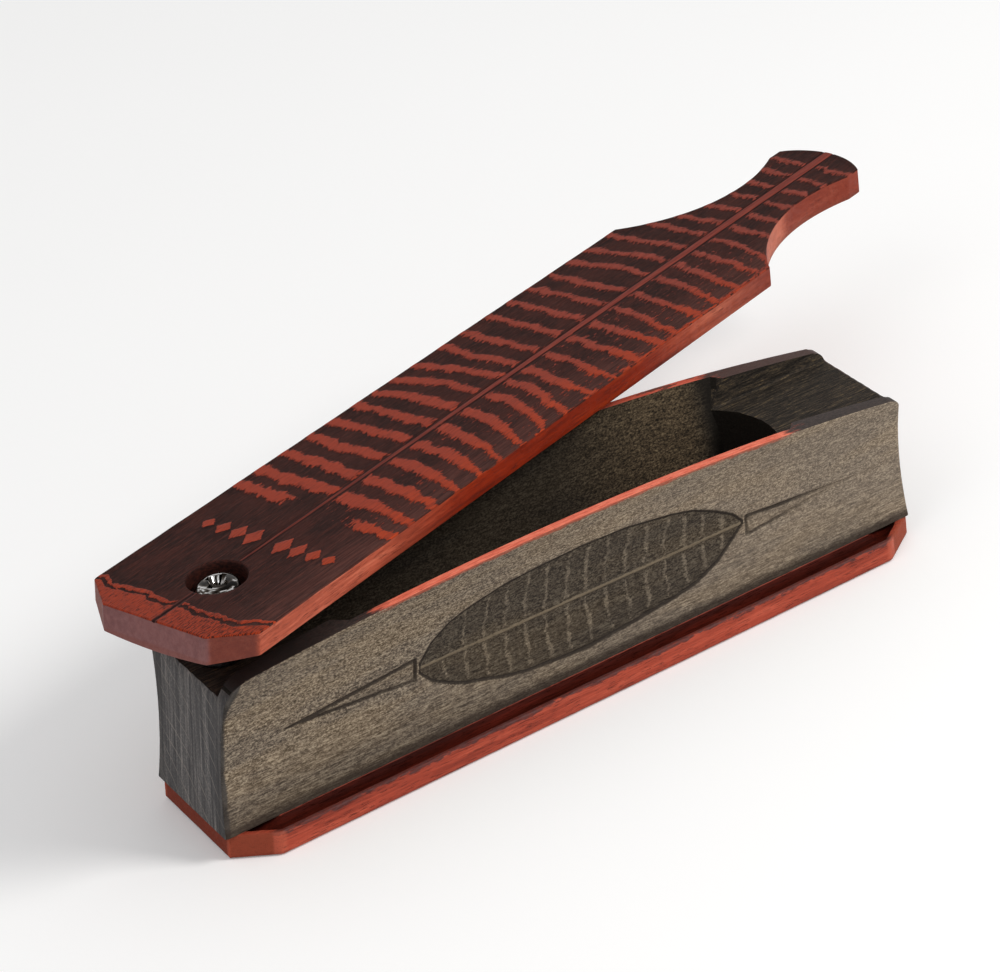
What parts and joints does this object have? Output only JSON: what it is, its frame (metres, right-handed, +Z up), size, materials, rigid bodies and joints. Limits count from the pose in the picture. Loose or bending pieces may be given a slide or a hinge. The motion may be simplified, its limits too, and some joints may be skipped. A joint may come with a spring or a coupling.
{
  "type": "box turkey call",
  "caption": "Hollow wooden sound box on a base board, with a long paddle lid that swings and rocks on one sprung screw over two arched lips.",
  "frame": {"origin": "middle of the base board's underside, on the resting face", "axes": "+X along the box from the pivot end to the handle end, +Y across the box, +Z up"},
  "size_m": [0.253, 0.1213, 0.0485],
  "materials": {
    "sound_box_wood": "grey-brown stained close-grained hardwood, oiled, with a burnt-in feather on one side and bare red playing lips",
    "base_wood": "red-brown hardwood, oiled satin, freshly cut cove beside the box",
    "lid_wood": "red-brown hardwood with a dark burnt top that leaves barred feather bands in bare wood",
    "screw_chrome": "bright plated steel",
    "dark_steel": "dark oxide steel",
    "zinc_steel": "zinc plated steel",
    "spring_steel": "bright spring wire"
  },
  "bodies": {
    "box": {"sound_box": "sound_box_wood", "base_board": "base_wood", "pivot_screw": "screw_chrome", "seat_washer": "zinc_steel"},
    "swivel": {"head_washer": "dark_steel", "pivot_spring": "spring_steel"},
    "paddle": {"lid": "lid_wood", "lid_washer": "zinc_steel"}
  },
  "joints": [
    {"name": "lid_swing", "type": "hinge", "parent": "box", "child": "swivel", "pos_m": [-0.0834, 0, 0.044], "axis": [0, 0, 1], "range_deg": [-80.1, 39.9]},
    {"name": "lid_tilt", "type": "hinge", "parent": "swivel", "child": "paddle", "pos_m": [-0.07861, 0.00175, 0.04365], "axis": [0.3437, -0.9391, 0], "range_deg": [0, 6], "deforming": ["pivot_spring"]}
  ]
}
